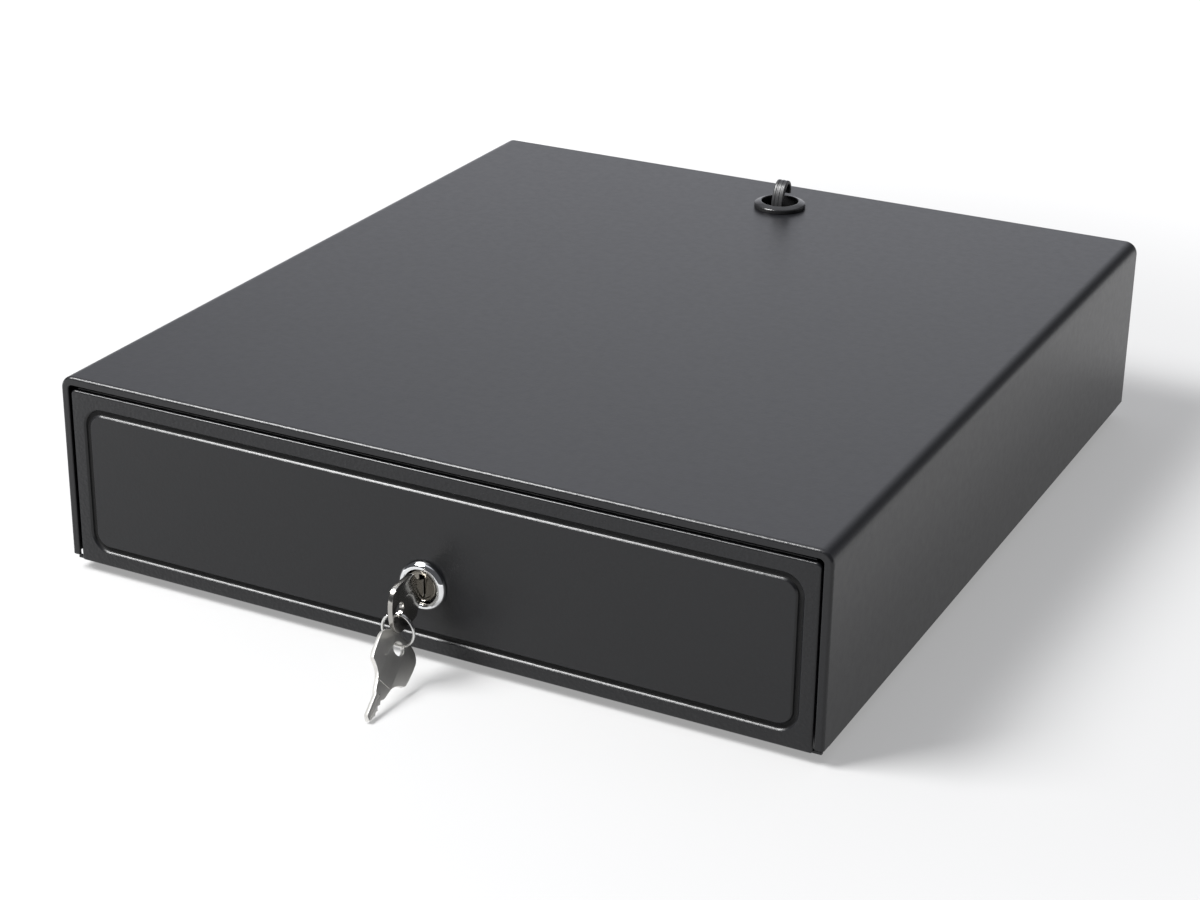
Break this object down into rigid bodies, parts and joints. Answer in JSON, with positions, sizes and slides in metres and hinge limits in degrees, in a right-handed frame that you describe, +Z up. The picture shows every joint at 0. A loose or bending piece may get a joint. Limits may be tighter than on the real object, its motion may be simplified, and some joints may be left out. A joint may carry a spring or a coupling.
{
  "type": "cash drawer",
  "caption": "Low steel cash drawer: folded cover, embossed sliding front with cam lock and keys, roller slides, note and coin trays, solenoid latch and a top cable grommet with hook.",
  "frame": {"origin": "bottom centre of the whole object's bounding box, on the surface that the feet stand on", "axes": "+Z up, +X to the right seen from the front, the drawer opens towards -Y"},
  "size_m": [0.33, 0.4144, 0.0973],
  "materials": {
    "powder_coat": "fine satin powder coat",
    "powder_coat_front": "pebbled powder coat, smooth inside the groove",
    "zinc_plate": "bright zinc plate",
    "steel": "bright steel",
    "spring_steel": "drawn wire",
    "chrome": "polished",
    "nickel": "worn nickel plate",
    "rubber": "matte",
    "black_plastic": "semi-gloss moulded",
    "tray_plastic": "fine moulded grain",
    "clip_plastic": "satin moulded",
    "roller_plastic": "acetal",
    "coil_tape": "wound tape",
    "cable_pvc": "pvc sheath"
  },
  "bodies": {
    "case": {"top_cover": "powder_coat", "base_pan": "powder_coat", "rear_panel": "powder_coat", "rear_screw_1": "steel", "rear_screw_2": "steel", "rear_screw_3": "steel", "rear_screw_4": "steel", "foot_front_left": "rubber", "foot_front_right": "rubber", "foot_rear_left": "rubber", "foot_rear_right": "rubber", "cable_grommet": "black_plastic", "grommet_hook": "black_plastic", "case_rail_left": "zinc_plate", "case_rail_right": "zinc_plate", "front_axle_left": "steel", "front_axle_right": "steel", "lock_catch": "zinc_plate", "latch_bracket": "zinc_plate", "latch_pivot_pin": "steel", "latch_spring": "spring_steel", "solenoid_frame": "zinc_plate", "solenoid_coil": "coil_tape", "switch_body": "black_plastic", "ejector_spring": "spring_steel", "cable_socket": "black_plastic", "wire_harness": "cable_pvc"},
    "drawer": {"drawer_front": "powder_coat_front", "drawer_box": "zinc_plate", "drawer_rail_left": "zinc_plate", "drawer_rail_right": "zinc_plate", "rear_axle_left": "steel", "rear_axle_right": "steel", "striker": "zinc_plate", "till_tray": "tray_plastic", "coin_tray": "tray_plastic", "clip_axle": "steel", "clip_spring_1": "spring_steel", "clip_spring_2": "spring_steel", "clip_spring_3": "spring_steel", "clip_spring_4": "spring_steel", "lock_body": "chrome", "lock_nut": "zinc_plate"},
    "lock_core": {"lock_plug": "chrome", "lock_cam": "zinc_plate", "cam_screw": "steel"},
    "front_roller_left": {"front_roller_left": "roller_plastic"},
    "front_roller_right": {"front_roller_right": "roller_plastic"},
    "rear_roller_left": {"rear_roller_left": "roller_plastic"},
    "rear_roller_right": {"rear_roller_right": "roller_plastic"},
    "latch_lever": {"latch_lever": "steel"},
    "solenoid_plunger": {"solenoid_plunger": "steel"},
    "switch_lever": {"switch_lever": "steel"},
    "note_clip_1": {"note_clip_1": "clip_plastic"},
    "note_clip_2": {"note_clip_2": "clip_plastic"},
    "note_clip_3": {"note_clip_3": "clip_plastic"},
    "note_clip_4": {"note_clip_4": "clip_plastic"},
    "key": {"key": "nickel"},
    "key_ring": {"key_ring": "nickel"},
    "spare_key": {"spare_key": "nickel"}
  },
  "joints": [
    {"name": "drawer_slide", "type": "slide", "parent": "case", "child": "drawer", "axis": [0, -1, 0], "range_m": [0, 0.265]},
    {"name": "front_roller_left_spin", "type": "hinge", "parent": "case", "child": "front_roller_left", "pos_m": [-0.1551, -0.13476, 0.0334], "axis": [1, 0, 0], "continuous": true},
    {"name": "rear_roller_left_spin", "type": "hinge", "parent": "drawer", "child": "rear_roller_left", "pos_m": [-0.1551, 0.14924, 0.0334], "axis": [1, 0, 0], "continuous": true},
    {"name": "front_roller_right_spin", "type": "hinge", "parent": "case", "child": "front_roller_right", "pos_m": [0.1551, -0.13476, 0.0334], "axis": [1, 0, 0], "continuous": true},
    {"name": "rear_roller_right_spin", "type": "hinge", "parent": "drawer", "child": "rear_roller_right", "pos_m": [0.1551, 0.14924, 0.0334], "axis": [1, 0, 0], "continuous": true},
    {"name": "plunger_pull", "type": "slide", "parent": "case", "child": "solenoid_plunger", "axis": [1, 0, 0], "range_m": [0, 0.00335], "stiffness_N_per_m": 430, "springref_m": -0.0032},
    {"name": "latch_release", "type": "hinge", "parent": "case", "child": "latch_lever", "pos_m": [-0.02, 0.18324, 0.01875], "axis": [0, 0, -1], "range_deg": [0, 18]},
    {"name": "switch_press", "type": "hinge", "parent": "case", "child": "switch_lever", "pos_m": [-0.0559, 0.16854, 0.0119], "axis": [0, 0, 1], "range_deg": [0, 12], "stiffness_Nm_per_rad": 0.005, "springref_deg": -17.19},
    {"name": "note_clip_1_lift", "type": "hinge", "parent": "drawer", "child": "note_clip_1", "pos_m": [-0.10988, 0.14124, 0.036], "axis": [-1, 0, 0], "range_deg": [0, 70], "stiffness_Nm_per_rad": 0.02, "springref_deg": -28.65},
    {"name": "note_clip_2_lift", "type": "hinge", "parent": "drawer", "child": "note_clip_2", "pos_m": [-0.03662, 0.14124, 0.036], "axis": [-1, 0, 0], "range_deg": [0, 70], "stiffness_Nm_per_rad": 0.02, "springref_deg": -28.65},
    {"name": "note_clip_3_lift", "type": "hinge", "parent": "drawer", "child": "note_clip_3", "pos_m": [0.03662, 0.14124, 0.036], "axis": [-1, 0, 0], "range_deg": [0, 70], "stiffness_Nm_per_rad": 0.02, "springref_deg": -28.65},
    {"name": "note_clip_4_lift", "type": "hinge", "parent": "drawer", "child": "note_clip_4", "pos_m": [0.10988, 0.14124, 0.036], "axis": [-1, 0, 0], "range_deg": [0, 70], "stiffness_Nm_per_rad": 0.02, "springref_deg": -28.65},
    {"name": "key_turn", "type": "hinge", "parent": "drawer", "child": "lock_core", "pos_m": [0.0015, -0.14476, 0.0328], "axis": [0, 1, 0], "range_deg": [0, 90]},
    {"name": "key_pull", "type": "slide", "parent": "lock_core", "child": "key", "axis": [0, -1, 0], "range_m": [0, 0.021]},
    {"name": "ring_swing", "type": "hinge", "parent": "key", "child": "key_ring", "pos_m": [0.0015, -0.17536, 0.029], "axis": [1, 0, 0], "range_deg": [-70, 0]},
    {"name": "spare_key_swing", "type": "hinge", "parent": "key_ring", "child": "spare_key", "pos_m": [0.0015, -0.17536, 0.0156], "axis": [1, 0, 0], "range_deg": [-35, 0]}
  ],
  "couplings": [
    {"joint": "front_roller_left_spin", "follows": "drawer_slide", "rad_per_m": 125},
    {"joint": "rear_roller_left_spin", "follows": "drawer_slide", "rad_per_m": 125},
    {"joint": "front_roller_right_spin", "follows": "drawer_slide", "rad_per_m": 125},
    {"joint": "rear_roller_right_spin", "follows": "drawer_slide", "rad_per_m": 125},
    {"joint": "latch_release", "follows": "plunger_pull", "rad_per_m": 92.6}
  ]
}
